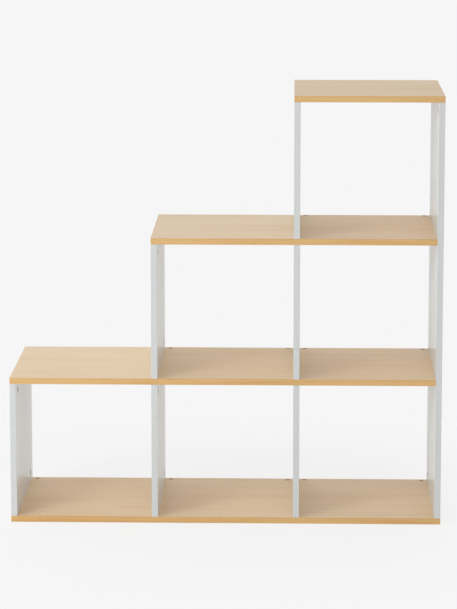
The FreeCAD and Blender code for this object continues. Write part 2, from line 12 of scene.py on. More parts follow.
import bpy
import numpy as np
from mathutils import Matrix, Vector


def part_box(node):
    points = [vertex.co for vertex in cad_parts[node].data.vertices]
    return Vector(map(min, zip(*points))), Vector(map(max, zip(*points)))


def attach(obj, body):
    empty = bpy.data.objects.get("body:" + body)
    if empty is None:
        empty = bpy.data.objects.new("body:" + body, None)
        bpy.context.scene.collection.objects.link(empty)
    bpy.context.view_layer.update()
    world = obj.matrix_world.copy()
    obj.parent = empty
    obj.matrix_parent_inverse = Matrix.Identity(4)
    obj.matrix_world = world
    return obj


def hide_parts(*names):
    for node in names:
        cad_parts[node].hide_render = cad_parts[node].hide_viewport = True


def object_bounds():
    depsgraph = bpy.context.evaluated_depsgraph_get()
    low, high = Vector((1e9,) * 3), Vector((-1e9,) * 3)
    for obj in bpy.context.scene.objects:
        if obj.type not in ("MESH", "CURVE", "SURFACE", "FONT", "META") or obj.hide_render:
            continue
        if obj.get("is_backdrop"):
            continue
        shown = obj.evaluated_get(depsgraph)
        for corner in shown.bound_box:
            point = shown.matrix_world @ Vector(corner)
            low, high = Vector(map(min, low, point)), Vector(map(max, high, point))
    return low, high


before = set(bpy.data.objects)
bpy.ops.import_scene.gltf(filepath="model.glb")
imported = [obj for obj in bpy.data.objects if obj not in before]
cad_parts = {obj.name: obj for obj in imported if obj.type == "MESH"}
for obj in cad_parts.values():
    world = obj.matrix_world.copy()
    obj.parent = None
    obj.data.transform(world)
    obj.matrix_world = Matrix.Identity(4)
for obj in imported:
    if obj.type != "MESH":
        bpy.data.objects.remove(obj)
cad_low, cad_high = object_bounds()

print("frame:", len(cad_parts), "nodes, from", tuple(cad_low), "to", tuple(cad_high))

# %% [markdown]
# ## The camera
# A catalogue picture of furniture is taken from far away with a long lens, so that upright edges stay
# nearly parallel. Here the camera stands six and a half metres in front, above the top board, a little
# to the right of the middle, and looks down by nine degrees. The rest of the way down is a shift of the
# lens, as on a view camera, which lets the upright edges run together less than a steeper look would.
# The lens is worked out from the focal length in pixels, because that is what comes out of fitting a
# picture's corners to the known corners of the boards.

# %% Camera
PICTURE_HEIGHT = 609
FOCAL_PIXELS = 2702
SHIFT_PIXELS = -60
SENSOR = 36.0
CAMERA_PLACE = (0.168, -6.613, 1.726)
CAMERA_DOWN_DEGREES = 9.16
CAMERA_LEFT_DEGREES = 1.43
CAMERA_REACH = 200.0

camera_data = bpy.data.cameras.new("picture_camera")
camera_data.sensor_width = SENSOR
camera_data.lens = SENSOR * FOCAL_PIXELS / PICTURE_HEIGHT
camera_data.shift_y = SHIFT_PIXELS / PICTURE_HEIGHT
camera_data.clip_end = CAMERA_REACH
camera = bpy.data.objects.new("picture_camera", camera_data)
camera.location = CAMERA_PLACE
camera.rotation_euler = (math.radians(90 - CAMERA_DOWN_DEGREES), 0, math.radians(CAMERA_LEFT_DEGREES))
bpy.context.scene.collection.objects.link(camera)
bpy.context.scene.camera = camera
bpy.context.scene.view_settings.view_transform = "Standard"
print("lens:", round(camera_data.lens, 1), "mm")

# %% [markdown]
# ## Nodes in short
# A finish in Blender is a small network of nodes. It can be drawn by hand in the shader editor, but a
# script can be read and run again. A few helpers keep the recipes below short: one writes a colour the
# way a paint chart gives it, from 0 to 255, and one adds a node with its settings and inputs. An input
# can be a plain value or the output of an earlier node, which is then linked. The others are the sums
# that recipes need most.

# %% Helpers for node networks
def paint(red, green, blue):
    """A screen colour from 0 to 255 as a shader's linear colour, by the standard screen curve."""
    share = np.array((red, green, blue)) / 255
    linear = np.where(share <= 0.04045, share / 12.92, ((share + 0.055) / 1.055) ** 2.4)
    return (*linear.tolist(), 1.0)


def add_node(tree, kind, inputs=None, **settings):
    """A new node; each input is a value to set or another node's output to link."""
    made = tree.nodes.new(kind)
    for name, value in settings.items():
        setattr(made, name, value)
    for socket, value in (inputs or {}).items():
        if isinstance(value, bpy.types.NodeSocket):
            tree.links.new(value, made.inputs[socket])
        else:
            made.inputs[socket].default_value = value
    return made


def combine(tree, operation, first, second):
    """Two values joined by one operation of a Math node, such as ADD or MULTIPLY."""
    return add_node(tree, "ShaderNodeMath", {0: first, 1: second}, operation=operation).outputs[0]


def total(tree, values):
    """Values added up one after another."""
    result, *others = values
    for value in others:
        result = combine(tree, "ADD", result, value)
    return result


def spread(tree, value, low, high, to_low, to_high):
    """A value from one range carried over to another, and held inside it."""
    inputs = {"Value": value, "From Min": low, "From Max": high, "To Min": to_low, "To Max": to_high}
    return add_node(tree, "ShaderNodeMapRange", inputs).outputs["Result"]


print("a screen grey of 128 counts as", round(paint(128, 128, 128)[0], 3), "of white in a shader")

# %% [markdown]
# ## The floor
# The picture is a cut-out on near-white paper. A studio lays a roll of paper that curves up behind the
# object. This shelf is looked at from all sides, and a wall would stand in the way of the views from
# behind, so the floor is one large flat disc. For everything that looks straight at it, or sees it in a
# gloss, it shines with the paper's own tone. Close to the shelf a share of the plain matt floor is
# mixed back in, so the contact shadow stays. For the rays that carry light from surface to surface it
# is matt, with a weak glow.

# %% Floor
PAPER = paint(246, 246, 246)
FLOOR_MATT = (0.90, 0.90, 0.90, 1.0)
FLOOR_GLOW = 0.26
FLOOR_RADIUS = 90.0
FLOOR_CORNERS = 96
FLOOR_DROP = 0.0004
SHADOW_REACH = 1.1
SHADOW_FULL = 0.25
SHADOW_SHARE = 0.16
NEAR_SHINE = 0.980


def seen_directly(tree):
    """One for camera, gloss and glass rays, zero for the rays that carry light between surfaces."""
    path = add_node(tree, "ShaderNodeLightPath").outputs
    either = combine(tree, "MAXIMUM", path["Is Camera Ray"], path["Is Glossy Ray"])
    return combine(tree, "MAXIMUM", either, path["Is Transmission Ray"])


def glowing(tree, colour, strength):
    """A surface that gives off light of its own."""
    return add_node(tree, "ShaderNodeEmission", {"Color": colour, "Strength": strength}).outputs[0]


def floor_finish():
    """Matt for light, the paper's tone for the eye, and close to the shelf a mixture of both."""
    material = bpy.data.materials.new("studio_floor")
    material.use_nodes = True
    tree = material.node_tree
    tree.nodes.clear()
    place = add_node(tree, "ShaderNodeTexCoord").outputs["Object"]
    scale = (1 / SHADOW_REACH,) * 3
    near = add_node(tree, "ShaderNodeMapping", {"Vector": place, "Scale": scale}).outputs["Vector"]
    ball = add_node(tree, "ShaderNodeTexGradient", {"Vector": near}, gradient_type="QUADRATIC_SPHERE")
    fade = ball.outputs["Fac"]
    paper_share = spread(tree, fade, 0.0, SHADOW_FULL, 1.0, 1.0 - SHADOW_SHARE)
    paper_shine = spread(tree, fade, 0.0, SHADOW_FULL, 1.0, NEAR_SHINE)
    matt = add_node(tree, "ShaderNodeBsdfDiffuse", {"Color": FLOOR_MATT}).outputs["BSDF"]
    glow = glowing(tree, FLOOR_MATT, FLOOR_GLOW)
    lit = add_node(tree, "ShaderNodeAddShader", {0: matt, 1: glow}).outputs["Shader"]
    shine = glowing(tree, PAPER, paper_shine)
    share = combine(tree, "MULTIPLY", seen_directly(tree), paper_share)
    mixed = add_node(tree, "ShaderNodeMixShader", {0: share, 1: lit, 2: shine}).outputs["Shader"]
    add_node(tree, "ShaderNodeOutputMaterial", {"Surface": mixed})
    return material


def make_floor():
    """A disc: one face round a circle about the origin, just under the base board."""
    around = np.arange(FLOOR_CORNERS) * 2 * np.pi / FLOOR_CORNERS
    drop = np.full(FLOOR_CORNERS, -FLOOR_DROP)
    points = np.stack([FLOOR_RADIUS * np.cos(around), FLOOR_RADIUS * np.sin(around), drop], axis=1)
    mesh = bpy.data.meshes.new("studio_floor")
    mesh.from_pydata(points.tolist(), [], [list(range(FLOOR_CORNERS))])
    mesh.materials.append(floor_finish())
    floor = bpy.data.objects.new("studio_floor", mesh)
    bpy.context.scene.collection.objects.link(floor)
    floor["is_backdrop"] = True


make_floor()
print("floor:", FLOOR_RADIUS, "m disc,", FLOOR_DROP * 1000, "mm under the base board")

# %% [markdown]
# ## A light tent
# Furniture is often photographed between large white cloths, which leave hardly a shadow. Four big
# lamps could stand for them. The world is simpler: its brightness depends only on the direction a ray
# leaves in, so each wall of the tent is one number, full where a direction points straight at it and
# fading to nothing at a right angle. The front and rear walls are bright, because light falls into the
# open compartments from both ends. The sides are dim and overhead it is dark. For the eye the world has
# the paper's tone, as the floor has.

# %% World
TENT_CLOTH = (1.0, 1.0, 1.0, 1.0)
# Axis, end of the axis and brightness of each wall
TENT_WALLS = (("X", -1.0, 0.24), ("X", 1.0, 0.40), ("Y", 1.0, 1.28), ("Y", -1.0, 0.90))


def make_world():
    """A tent for surfaces, each wall as bright as a ray points at it; the paper's tone for the eye."""
    world = bpy.data.worlds.new("studio_world")
    world.use_nodes = True
    tree = world.node_tree
    tree.nodes.clear()
    way = add_node(tree, "ShaderNodeTexCoord").outputs["Generated"]
    parts = add_node(tree, "ShaderNodeSeparateXYZ", {0: way}).outputs
    walls = [spread(tree, parts[axis], 0.0, end, 0.0, brightness) for axis, end, brightness in TENT_WALLS]
    strength = total(tree, walls)
    light = add_node(tree, "ShaderNodeBackground", {"Color": TENT_CLOTH, "Strength": strength}).outputs[0]
    paper = add_node(tree, "ShaderNodeBackground", {"Color": PAPER, "Strength": 1.0}).outputs[0]
    mixed = add_node(tree, "ShaderNodeMixShader", {0: seen_directly(tree), 1: light, 2: paper}).outputs[0]
    add_node(tree, "ShaderNodeOutputWorld", {"Surface": mixed})
    bpy.context.scene.world = world


make_world()
print("tent:", len(TENT_WALLS), "walls")

# %% [markdown]
# ## Three soft lamps
# A tent alone leaves everything alike, and the corners hard to read. Two large soft lamps at the left
# give the faces their slight differences. A smaller one at the right, no higher than the shelf, keeps
# the tall outer panel white. That panel shades everything behind it, so the lamp changes little else.
# A sun lamp could do as much, but its shadows are hard, and the picture shows none.

# %% Lamps
# Name, place, point it looks at, width, height and watts
LAMPS = (
    ("left_front_lamp", (-2.6, -2.8, 1.9), (0.0, 0.0, 0.5), 1.6, 1.6, 55.0),
    ("left_side_lamp", (-3.0, -0.6, 1.2), (0.0, 0.0, 0.4), 1.6, 1.6, 24.0),
    ("right_fill_lamp", (3.0, 0.45, 0.5), (0.5, 0.0, 0.5), 1.2, 1.0, 12.0),
)


def soft_lamp(name, place, aim, width, height, power):
    """A rectangular soft lamp that looks at a point."""
    data = bpy.data.lights.new(name, "AREA")
    data.shape = "RECTANGLE"
    data.size = width
    data.size_y = height
    data.energy = power
    lamp = bpy.data.objects.new(name, data)
    lamp.location = place
    step = np.array(aim) - np.array(place)
    flat = math.hypot(step[0], step[1])
    lamp.rotation_euler = (math.pi / 2 + math.atan2(step[2], flat), 0, math.atan2(-step[0], step[1]))
    bpy.context.scene.collection.objects.link(lamp)


for lamp_row in LAMPS:
    soft_lamp(*lamp_row)
print("lamps:", ", ".join(row[0] for row in LAMPS))

# %% [markdown]
# ## What the finishes share
# Every finish here has one plan: a Principled shader, and noises that vary its tone, its gloss and its
# bump. Painted textures would need image files and a map of every board. A noise needs neither: it is
# read at the object's own coordinates, in metres, so it keeps its place and its true size on any board.
# A noise moves about 0.5 and seldom leaves the range from 0.3 to 0.7, so that is the range that is
# spread over two tones or two values of gloss.

# %% Helpers for finishes
NOISE_LOW = 0.3
NOISE_HIGH = 0.7


def new_finish(name, **sockets):
    """A material with one Principled shader and its constant sockets set.

    Gives the material, its tree, the shader and the object's own coordinates.
    """
    material = bpy.data.materials.new(name)
    material.use_nodes = True
    tree = material.node_tree
    shader = tree.nodes["Principled BSDF"]
    for socket, value in sockets.items():
        shader.inputs[socket.replace("_", " ")].default_value = value
    place = add_node(tree, "ShaderNodeTexCoord").outputs["Object"]
    return material, tree, shader, place


def cloud(tree, place, waves, detail):
    """Noise that is alike in all directions, with so many waves to the metre."""
    inputs = {"Vector": place, "Scale": waves, "Detail": detail}
    return add_node(tree, "ShaderNodeTexNoise", inputs).outputs["Fac"]


def grain(tree, place, axis, along, across, **inputs):
    """Noise stretched along one axis of the object: waves to the metre along it and across it."""
    stretch = [across] * 3
    stretch["XYZ".index(axis)] = along
    vector = add_node(tree, "ShaderNodeMapping", {"Vector": place, "Scale": stretch}).outputs["Vector"]
    return add_node(tree, "ShaderNodeTexNoise", {"Vector": vector, "Scale": 1.0, **inputs}).outputs["Fac"]


def ramp(tree, value, *stops):
    """A colour ramp with stops of place and colour."""
    made = add_node(tree, "ShaderNodeValToRGB", {"Fac": value})
    for number, (place, colour) in enumerate(stops):
        ends = made.color_ramp.elements
        stop = ends[number] if number < 2 else ends.new(place)
        stop.position = place
        stop.color = colour
    return made.outputs["Color"]


def vary_tone(tree, shader, noise, dark, light):
    """The shader's colour between two tones, by a noise."""
    colour = ramp(tree, noise, (NOISE_LOW, dark), (NOISE_HIGH, light))
    tree.links.new(colour, shader.inputs["Base Color"])


def vary_gloss(tree, shader, noise, at_low, at_high):
    """The shader's roughness between two values, by a noise."""
    roughness = spread(tree, noise, NOISE_LOW, NOISE_HIGH, at_low, at_high)
    tree.links.new(roughness, shader.inputs["Roughness"])


def emboss(tree, shader, height, strength, depth):
    """A bump from a height; the depth is in metres."""
    bump = add_node(tree, "ShaderNodeBump", {"Strength": strength, "Distance": depth, "Height": height})
    tree.links.new(bump.outputs["Normal"], shader.inputs["Normal"])


print("noise between", NOISE_LOW, "and", NOISE_HIGH, "is spread over each finish")

# %% [markdown]
# ## Wood decor
# The boards are chipboard under a printed paper of pale wood, so the grain runs one way over the whole
# face and has no depth but a light emboss. A photograph of wood would show its repeats. Here the print
# is drawn by four noises, each stretched long in one direction: slow changes of tone, streaks a few
# millimetres wide, growth lines, and short dark flecks. They are written in waves to the metre along
# and across the grain, so that the pattern has the right size on any board. The edge band is printed
# the same way in deeper tones.

# %% Wood decor and its edge band
SLOW_TONES = {"along": 1.6, "across": 11.0, "Detail": 2.0}
STREAKS = {"along": 4.0, "across": 170.0, "Detail": 4.0, "Roughness": 0.6}
GROWTH_LINES = {"along": 9.0, "across": 620.0, "Detail": 2.0}
FLECKS = {"along": 160.0, "across": 1500.0, "Detail": 1.0}
SLOW_SHARE = 0.55
LINE_SHARE = 0.25
TONE_SPAN = 0.28
MIDDLE_STOP = 0.52
FLECK_START, FLECK_FULL = 0.62, 0.74
FLECK_STRENGTH = 0.30
FLECK_TONE = paint(196, 164, 126)
LINE_HEIGHT = 0.5


def darken(tree, colour, share, tone):
    """A colour multiplied by a tone where the share is one."""
    inputs = {"Factor": share, 6: colour, 7: tone}
    return add_node(tree, "ShaderNodeMix", inputs, data_type="RGBA", blend_type="MULTIPLY").outputs[2]


def wood_decor(name, axis, tones, streak_share):
    """Printed wood along an axis, from a pale, a middle and a deep tone.

    The tone is the sum of slow changes, streaks and growth lines, each times its share. Dark flecks lie
    over it. The height of the emboss is half the growth lines less the flecks.
    """
    pale, middle, deep = tones
    material, tree, shader, place = new_finish(name, Specular_IOR_Level=0.24)
    slow, streaks, lines, flecks = (
        grain(tree, place, axis, **layer) for layer in (SLOW_TONES, STREAKS, GROWTH_LINES, FLECKS)
    )
    layers = ((slow, SLOW_SHARE), (streaks, streak_share), (lines, LINE_SHARE))
    tone = total(tree, [combine(tree, "MULTIPLY", layer, share) for layer, share in layers])
    mean = sum(share for _, share in layers) / 2
    tone = spread(tree, tone, mean - TONE_SPAN, mean + TONE_SPAN, 0.0, 1.0)
    print_colour = ramp(tree, tone, (0.0, deep), (1.0, pale), (MIDDLE_STOP, middle))
    fleck_share = spread(tree, flecks, FLECK_START, FLECK_FULL, 0.0, FLECK_STRENGTH)
    tree.links.new(darken(tree, print_colour, fleck_share, FLECK_TONE), shader.inputs["Base Color"])
    vary_gloss(tree, shader, streaks, at_low=0.56, at_high=0.46)
    height = combine(tree, "SUBTRACT", combine(tree, "MULTIPLY", lines, LINE_HEIGHT), fleck_share)
    emboss(tree, shader, height, strength=0.12, depth=0.0002)
    return material


face_tones = (paint(246, 222, 190), paint(241, 215, 180), paint(230, 198, 157))
band_tones = (paint(213, 176, 124), paint(206, 167, 111), paint(191, 147, 89))
face_wood = wood_decor("wood_decor", "X", face_tones, streak_share=0.55)
band_wood = wood_decor("wood_edge_band", "X", band_tones, streak_share=0.7)
end_band_wood = wood_decor("wood_end_band", "Y", band_tones, streak_share=0.7)
print("wood finishes:", face_wood.name, band_wood.name, end_band_wood.name)

# %% [markdown]
# ## White melamine
# The panels wear the same kind of paper in plain white, pressed with a fine pearl texture that keeps
# fingerprints away. Real dents would take millions of faces, so the pearl is a very small bump, with a
# faint mottling of the white and an uneven gloss. The band on their edges is smooth plastic, drawn
# through a die, so it has faint lines along its length instead.

# %% White finishes
WHITE = paint(210, 214, 215)
WHITE_SHADE = paint(207, 211, 212)
BAND_WHITE = paint(198, 201, 200)
BAND_SHADE = paint(194, 197, 196)


def white_melamine():
    """Pressed white: a pearl of fine noise for bump and gloss, and a faint mottling of tone."""
    material, tree, shader, place = new_finish("white_melamine", Specular_IOR_Level=0.85)
    pearl = cloud(tree, place, waves=900.0, detail=2.0)
    vary_tone(tree, shader, cloud(tree, place, waves=9.0, detail=3.0), WHITE_SHADE, WHITE)
    vary_gloss(tree, shader, pearl, at_low=0.26, at_high=0.35)
    emboss(tree, shader, pearl, strength=0.15, depth=0.0001)
    return material


def white_band():
    """Drawn white plastic: faint lines along its length, in tone, gloss and bump."""
    material, tree, shader, place = new_finish("white_edge_band", Specular_IOR_Level=0.50)
    lines = grain(tree, place, "Z", along=3.0, across=900.0, Detail=2.0)
    vary_tone(tree, shader, lines, BAND_SHADE, BAND_WHITE)
    vary_gloss(tree, shader, lines, at_low=0.34, at_high=0.44)
    emboss(tree, shader, lines, strength=0.10, depth=0.0001)
    return material


panel_white = white_melamine()
panel_band_white = white_band()
print("white finishes:", panel_white.name, panel_band_white.name)

# %% [markdown]
# ## Metal, plastic and dowel wood
# The fittings are zinc die castings, plated steel, brown plastic and beech. One grey for all metal
# would be quicker, but their finishes differ in how they are made: cast zinc is dull and cloudy, plated
# steel is brighter with fine scratches, moulded plastic has a fine spark-eroded grain, and a dowel is
# raw wood.

# %% Finishes of the fittings
def dull_metal(name, light, dark, smooth, rough, scratch, edge=1.0):
    """Metal with clouds of tone and gloss, fine scratches, and its own brightness at a flat angle."""
    tint = (edge, edge, edge, 1.0)
    material, tree, shader, place = new_finish(name, Metallic=1.0, Specular_Tint=tint)
    clouds = cloud(tree, place, waves=260.0, detail=5.0)
    scratches = grain(tree, place, "Z", along=300.0, across=5200.0, Detail=2.0)
    vary_tone(tree, shader, clouds, dark, light)
    vary_gloss(tree, shader, clouds, at_low=rough, at_high=smooth)
    emboss(tree, shader, scratches, strength=scratch, depth=0.00005)
    return material


def moulded_plastic(name, light, dark):
    """Plastic from a mould: a fine eroded grain in bump and gloss, and a slow change of tone."""
    material, tree, shader, place = new_finish(name, Specular_IOR_Level=0.45)
    eroded = cloud(tree, place, waves=2600.0, detail=2.0)
    vary_tone(tree, shader, cloud(tree, place, waves=120.0, detail=2.0), dark, light)
    vary_gloss(tree, shader, eroded, at_low=0.36, at_high=0.52)
    emboss(tree, shader, eroded, strength=0.2, depth=0.00005)
    return material


# The cam's zinc is painted darker than bare zinc, and its edge reflection is dimmed: painted shade of the
# hole it sits in.
cam_zinc = dull_metal("cam_zinc", light=paint(120, 120, 120), dark=paint(88, 88, 89),
                      smooth=0.50, rough=0.66, scratch=0.10, edge=0.30)
bolt_steel = dull_metal("bolt_steel", light=paint(196, 192, 178), dark=paint(168, 164, 150),
                        smooth=0.28, rough=0.42, scratch=0.12)
bracket_steel = dull_metal("bracket_steel", light=paint(204, 205, 206), dark=paint(176, 178, 180),
                           smooth=0.26, rough=0.44, scratch=0.12)
screw_steel = dull_metal("screw_steel", light=paint(200, 200, 200), dark=paint(168, 168, 170),
                         smooth=0.26, rough=0.40, scratch=0.10)
plug_plastic = moulded_plastic("plug_plastic", light=paint(188, 158, 124), dark=paint(173, 143, 109))
beech_tones = (paint(226, 190, 146), paint(214, 174, 128), paint(190, 146, 102))
dowel_wood = wood_decor("dowel_wood", "Z", beech_tones, streak_share=0.6)
print("fitting finishes:", cam_zinc.name, bolt_steel.name, bracket_steel.name, screw_steel.name,
      plug_plastic.name, dowel_wood.name)

# %% [markdown]
# ## Give every node its finish
# The record that comes with the frame says which finish each node takes, and the frame's own plain
# materials carry those names. Finishes could be given out piece by piece, but one table from those
# names to the finishes above is enough for all boards. Only the short bands on the ends of the boards
# differ: their grain runs from front to rear, so they take the turned finish.

# %% Finishes on the nodes
FINISHES = {
    "wood_decor": face_wood,
    "wood_edge_band": band_wood,
    "white_melamine": panel_white,
    "white_edge_band": panel_band_white,
    "cam_zinc": cam_zinc,
    "bolt_steel": bolt_steel,
    "bracket_steel": bracket_steel,
    "screw_steel": screw_steel,
    "plug_plastic": plug_plastic,
    "dowel_wood": dowel_wood,
}
for name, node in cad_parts.items():
    finish = FINISHES[node.material_slots[0].material.name.split(".")[0]]
    turned = finish is band_wood and name.endswith(("left_band", "right_band"))
    node.material_slots[0].material = end_band_wood if turned else finish
print("finished", len(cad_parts), "nodes")

# %% [markdown]
# ## Where the joints are
# Every panel stands between two boards. At its top the cam lock sits near the front and at its foot
# near the rear, so that the joints of two panels one above the other never meet in the same board. Two
# dowels beside each cam keep the parts in line. The two shelves meet the tall right panel with their
# ends, with two cams and two dowels each. The places could be typed in, but worked out from the boxes
# of the panels and boards they stay right. Each is a point with two directions, that of the fitting's
# own X axis and that of its Z axis.

# %% Places of the joints
CAM_SETBACK = 0.025
CAM_INSET = 0.050
DOWEL_INSET = 0.085
DOWEL_OFFSET = 0.030
FRONT, REAR = cad_low.y, cad_high.y
X_WAY, Z_WAY = np.array((1, 0, 0)), np.array((0, 0, 1))

panels = [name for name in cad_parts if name.endswith(("_panel", "_divider"))]
cam_places, bolt_places, dowel_places = [], [], []
for name in panels:
    low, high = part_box(name)
    middle = (low.x + high.x) / 2
    face, face_way = (low.x, -X_WAY) if name == "right_side_panel" else (high.x, X_WAY)
    top_joint = (high.z, 1, FRONT + CAM_INSET, (REAR - DOWEL_INSET, -DOWEL_OFFSET))
    foot_joint = (low.z, -1, REAR - CAM_INSET, (FRONT + DOWEL_INSET, DOWEL_OFFSET))
    for plane, way, cam_y, dowels_y in (top_joint, foot_joint):
        cam_places.append(((face, cam_y, plane - way * CAM_SETBACK), way * Z_WAY, face_way))
        bolt_places.append(((middle, cam_y, plane), X_WAY, -way * Z_WAY))
        dowel_places += [((middle, y, plane), X_WAY, -way * Z_WAY) for y in dowels_y]
for name in ("lower_shelf", "upper_shelf"):
    low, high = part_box(name)
    middle = (low.z + high.z) / 2
    for side in (FRONT, REAR):
        inwards = -math.copysign(1, side)
        cam_y, dowel_y = side + inwards * CAM_INSET, side + inwards * DOWEL_INSET
        cam_places.append(((high.x - CAM_SETBACK, cam_y, low.z), X_WAY, -Z_WAY))
        bolt_places.append(((high.x, cam_y, middle), Z_WAY, -X_WAY))
        dowel_places.append(((high.x, dowel_y, middle), Z_WAY, -X_WAY))
print("joints:", len(cam_places), "cams,", len(bolt_places), "bolts,", len(dowel_places), "dowels")

# %% [markdown]
# ## Fittings as surfaces
# In the frame the fittings are plain bodies, right in place and size. On the real shelf a dowel is
# fluted, a cam bolt has a rolled thread, a hole plug is moulded with a soft edge and a cam lock is a
# small casting with a cross slot. Such forms could be carved by hand, but all of them are turned or
# slotted, so each is worked out as a grid of points by formula. A form is a table of points in
# millimetres and blocks of faces that join them. A turned form is a stack of rings with a point at
# either end. The faces are listed so that they look outwards, and the volume inside tells: it comes out
# positive only then.

# %% Turned forms, and copies of a form at every place
MILLIMETRE = 0.001


def turned_form(heights, radii, around):
    """Rings closed by two end points: at height h and angle a stands r(h, a) times (cos a, sin a)."""
    rings = len(heights)
    angle = np.arange(around) * 2 * np.pi / around
    radius = np.broadcast_to(np.reshape(radii, (rings, -1)), (rings, around))
    height = np.broadcast_to(np.reshape(heights, (rings, 1)), (rings, around))
    ring_points = np.stack([radius * np.cos(angle), radius * np.sin(angle), height], axis=-1)
    points = np.vstack([[(0, 0, heights[0])], ring_points.reshape(-1, 3), [(0, 0, heights[-1])]])
    here = 1 + np.arange(rings)[:, None] * around + np.arange(around)
    beside = np.roll(here, -1, axis=1)
    walls = np.stack([here[:-1], beside[:-1], beside[1:], here[1:]], axis=-1).reshape(-1, 4)
    foot = np.stack([np.zeros(around, int), beside[0], here[0]], axis=-1)
    tip = np.stack([np.full(around, len(points) - 1), here[-1], beside[-1]], axis=-1)
    return points, [walls, foot, tip]


def volume_of(form):
    """Volume inside a closed form: the wedges from the origin to every triangle, added up."""
    points, blocks = form
    volume = 0.0
    for block in blocks:
        for corner in range(1, block.shape[1] - 1):
            first, second, third = (points[block[:, place]] for place in (0, corner, corner + 1))
            volume += np.sum(first * np.cross(second, third)) / 6
    return volume


def make_fittings(node, form, places, slot, smooth_degrees):
    """One piece with the form at every place: origin plus x, y and z times the place's own three axes."""
    points, blocks = form
    origin, ahead, up = (np.array(part, float) for part in zip(*places))
    axes = np.stack([ahead, np.cross(up, ahead), up], axis=1)
    copies = origin[:, None] + np.einsum("pk,nkc->npc", points * MILLIMETRE, axes)
    start = np.arange(len(places))[:, None, None] * len(points)
    faces = [face for block in blocks for face in (start + block).reshape(-1, block.shape[1]).tolist()]
    mesh = bpy.data.meshes.new("fine_" + node)
    mesh.from_pydata(copies.reshape(-1, 3).tolist(), [], faces)
    mesh.polygons.foreach_set("use_smooth", [True] * len(faces))
    mesh.set_sharp_from_angle(angle=math.radians(smooth_degrees))
    mesh.materials.append(FINISHES[slot])
    piece = bpy.data.objects.new("fine_" + node, mesh)
    bpy.context.scene.collection.objects.link(piece)
    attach(piece, "root")
    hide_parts(node)
    box = np.array([copies.min((0, 1)), copies.max((0, 1))])
    off = np.abs(box - np.array(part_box(node))).max() / MILLIMETRE
    print(piece.name, len(places), "copies,", len(faces), "faces,", round(volume_of(form), 1),
          "mm3 each, box off by", round(off, 2), "mm")


pin = turned_form([0.0, 10.0], [1.0, 1.0], 64)
print("a plain pin 2 mm wide and 10 mm long holds", round(volume_of(pin), 2), "mm3")

# %% [markdown]
# ## Dowels
# A dowel is a beech pin with pressed flutes, which let the air and the glue out of the hole, and a
# broken edge at both ends. Flutes could be cut out of a cylinder with booleans, which leave long thin
# faces. Here the radius is the same all along, less a shallow dip sixteen times round.

# %% Dowels
FLUTES = 16
POINTS_PER_FLUTE = 4
FLUTE_DEPTH = 0.30
# Height above the joint and radius of each ring
DOWEL_RINGS = ((-9.7, 3.0), (-9.4, 3.3), (-8.7, 4.0), (5.0, 4.0), (19.0, 4.0), (19.7, 3.3), (20.0, 3.0))

dowel_around = FLUTES * POINTS_PER_FLUTE
dowel_angle = np.arange(dowel_around) * 2 * np.pi / dowel_around
flute_dip = FLUTE_DEPTH * np.maximum(0, np.cos(FLUTES * dowel_angle)) ** 2
dowel_heights, dowel_radii = np.array(DOWEL_RINGS).T
dowel_form = turned_form(dowel_heights, dowel_radii[:, None] - flute_dip, dowel_around)
make_fittings("wood_dowels", dowel_form, dowel_places, "dowel_wood", smooth_degrees=50)

# %% [markdown]
# ## Cam bolts
# The bolt is turned steel. Its lower end has a coarse rolled thread for chipboard, then come a collar
# that sits on the board, a thin neck and the head that the cam grips. Blender's Screw modifier could
# wind a thread, but its ends stay open. Here the thread is made of the same closed rings, with a radius
# that rises and falls with height and angle together: one full turn lifts the ridge by one pitch.

# %% Cam bolts
THREAD_AROUND = 24
RIDGE_SLOPE = 3.2
BOLT_PITCH = 1.9
BOLT_TIP = -9.7
BOLT_THREAD_END = -0.35
BOLT_THREAD_RINGS = 45
BOLT_TAPER = 1.2
BOLT_TIP_RADIUS, BOLT_CORE, BOLT_RIDGE = 2.35, 0.25, 0.70
# Height above the board and radius of each ring: collar, neck and head
BOLT_SHAFT = (
    (-0.2, 2.9), (0.0, 2.9), (0.0, 3.4), (0.3, 3.7), (1.7, 3.7), (2.0, 3.4), (2.0, 2.7), (2.6, 2.3),
    (20.7, 2.3), (21.0, 2.6), (21.0, 3.2), (21.3, 3.5), (23.4, 3.5), (23.8, 3.2), (24.0, 2.4),
)


def thread_ridge(heights, pitch):
    """From 0 to 1, how high the ridge is: one less the slope times the way to the middle of its turn."""
    turns = np.arange(THREAD_AROUND) / THREAD_AROUND
    phase = (heights[:, None] / pitch - turns) % 1
    return np.clip(1 - np.abs(phase - 0.5) * RIDGE_SLOPE, 0, 1)


def threaded_form(heights, radii, plain_rings):
    """Rings of a thread, with a radius for every angle, and after them plain rings."""
    plain_heights, plain_radii = np.array(plain_rings).T
    even_radii = np.repeat(plain_radii[:, None], THREAD_AROUND, axis=1)
    return turned_form(np.r_[heights, plain_heights], np.vstack([radii, even_radii]), THREAD_AROUND)


thread_heights = np.linspace(BOLT_TIP, BOLT_THREAD_END, BOLT_THREAD_RINGS)
taper = np.clip((thread_heights[:, None] - BOLT_TIP) / BOLT_TAPER, 0, 1)
bolt_ridge = thread_ridge(thread_heights, BOLT_PITCH)
thread_radii = BOLT_TIP_RADIUS + (BOLT_CORE + BOLT_RIDGE * bolt_ridge) * taper
bolt_form = threaded_form(thread_heights, thread_radii, BOLT_SHAFT)
make_fittings("cam_bolts", bolt_form, bolt_places, "bolt_steel", smooth_degrees=40)

# %% [markdown]
# ## Hole plugs
# Two flat brown plastic plugs close the holes at the rear corners of every compartment floor. A
# bevelled disc would look much the same from afar. The head is moulded, though: an upright edge, a
# quarter of a circle for the rim and a top that is dished by a fifth of a millimetre, so that it
# catches the light as a ring. As a turned profile that takes one line for each.

